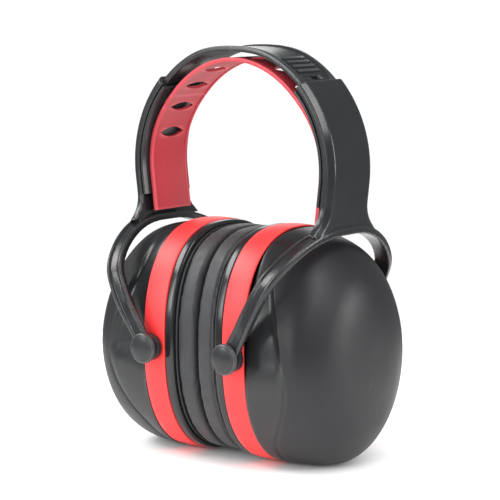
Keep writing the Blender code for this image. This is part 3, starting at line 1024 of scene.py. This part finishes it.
# %% [markdown]
# ## Sliding yokes
#
# A yoke is one moulding: a channel that the band slides in, a stem that flares at its foot,
# and a fork round the cup that ends in two eyes. The hard part is where they meet, because
# moulded parts flow into each other. So the three are drawn apart, melted together by a
# voxel remesh fine enough to keep the chamfers, and smoothed until the joins are fillets.

# %% Yoke shapes
SLEEVE_HALF_WIDTH, SLEEVE_INNER = 16.9, 54.3
MOUTH_ANGLE, STEM_FOOT, FLARE_ANGLE, FLARE_WIDTH = 43.7, -27.6, -15, 7.5
FORK_ROUTE = (
    (24.2, 48.4, -1.0), (29.5, 48.4, 7.5), (37.0, 48.8, 20.0), (44.0, 46.7, 33.4),
    (48.5, 38.0, 43.0), (51.5, 26.0, 50.2), (53.3, 13.0, 53.9), (53.6, 0.0, 54.5),
)
FORK_SECTION = (
    (-1.0, -1.0), (1.0, -1.0), (1.0, 0.6), (0.86, 1.0), (0.60, 1.0), (0.50, 0.62),
    (-0.52, 0.62), (-0.62, 0.95), (-0.86, 0.95), (-1.0, 0.6),
)


def sleeve_profile(angle):
    past = max(0, (FLARE_ANGLE - angle) / (FLARE_ANGLE - STEM_FOOT))
    half = SLEEVE_HALF_WIDTH + FLARE_WIDTH * past ** 2.2
    wide, deep = 3.4, 2.1
    return (
        (SLEEVE_INNER, half), (SLEEVE_RADIUS - deep, half), (SLEEVE_RADIUS, half - wide),
        (SLEEVE_RADIUS, -half + wide), (SLEEVE_RADIUS - deep, -half), (SLEEVE_INNER, -half),
    )


def fork_sections(side):
    """The ribbon's sections from the front eye, over the crown, to the rear eye."""
    half = [(x, -y, CUP_Z + z) for x, y, z in FORK_ROUTE]
    route = smooth_table(half + [(x, -y, z) for x, y, z in reversed(half[:-1])], 8)
    tangents = np.gradient(route, axis=0)
    sections = []
    for point, tangent in zip(route, tangents):
        tangent = tangent / np.linalg.norm(tangent)
        out = np.array([0, point[1], point[2] - CUP_Z])
        out = out - tangent * (out @ tangent)
        out = out / np.linalg.norm(out)
        across = np.cross(tangent, out) * 4.1
        free = smoothstep((point[2] - PIVOT_Z - 9) / 12)
        lift = out * (1.1 + 0.7 * free)
        sections.append([point + across * u + lift * v for u, v in FORK_SECTION])
    sections = np.array(sections)
    sections[:, :, 0] *= side
    return sections


def melted(piece, voxel, rounds):
    """Overlapping shapes made one skin, with soft joins."""
    remesh = piece.modifiers.new("melt", "REMESH")
    remesh.mode = "VOXEL"
    remesh.voxel_size = voxel * MM
    smooth = piece.modifiers.new("soften", "SMOOTH")
    smooth.factor, smooth.iterations = 0.5, rounds
    applied(piece)
    piece.data.shade_smooth()
    return piece


# %% Yokes
YOKE_VOXEL = 0.45
for word, side in SIDES.items():
    yoke = strip(
        f"{word}_yoke_moulding", sleeve_profile, (MOUTH_ANGLE, STEM_FOOT), black_band, side,
        place=on_arch,
    )
    channel = strip(
        "channel", lambda angle: ((50, -14.15), (57.4, -14.15), (57.4, 14.15), (50, 14.15)),
        (MOUTH_ANGLE + 6, -13.6), black_band, side, place=on_arch,
    )
    cut_with(yoke, [channel])
    parts = [yoke, make_piece("fork", *skin(fork_sections(side)), black_band)]
    eye_profile = rounded(((6.4, 49.6), (6.4, 47.2), (0, 47.2), (0, 49.6)), 0.3, 3)
    bore_profile = ((2.8, 45), (2.8, 52), (0, 52), (0, 45))
    at = (side * PIVOT_X, 0, PIVOT_Z)
    for end in ENDS.values():
        parts.append(turned("eye", eye_profile, at, (0, end, 0), black_band))
    with bpy.context.temp_override(active_object=yoke, selected_editable_objects=parts):
        bpy.ops.object.join()
    melted(yoke, YOKE_VOXEL, 4)
    bores = [
        turned("bore", bore_profile, at, (0, end, 0), black_band, 32)
        for end in ENDS.values()
    ]
    cut_with(yoke, bores)
    settle(yoke, f"{word}_yoke", "band_plastic", f"{word}_slider_yoke")
    print(yoke.name, len(yoke.data.vertices), "points")

# %% [markdown]
# ## What lies in the sleeve
#
# A cover closes the channel from inside, the band's end wears a shoe, a steel leaf clicks
# along the ribs, and a clip on the stem holds the strap's end. All are small bent bars
# with rounded edges, so one table lists them.

# %% Slide pieces
# Piece, node, body, slot, its two radii, half width, first and last angle, finish.
SLIDE_PIECES = (
    ("sleeve_lining", "sleeve_cover", "yoke", "band_plastic",
     (52.3, 53.5), 16.7, (43.0, -16), black_band),
    ("click_leaf", "click_spring", "yoke", "spring_steel",
     (57.02, 57.36), 7.0, (38, 29), spring_steel),
    ("slide_shoe", "band_shoe", "band_end", "inner_plastic",
     (54.6, 56.8), 13.3, (9.6, 5.8), black_inner),
    ("strap_holder", "strap_clip", "yoke", "inner_plastic",
     (51.6, 54.0), 9.0, (-17, -23), black_inner),
)
for word, side in SIDES.items():
    for piece_name, node, body, slot, radii, half_width, span, finish in SLIDE_PIECES:
        piece = block_on_arch(f"{word}_{piece_name}", radii, half_width, span, side, finish)
        settle(piece, f"{word}_{body}", slot, f"{word}_{node}")
print(len(SLIDE_PIECES), "slide pieces on each side")
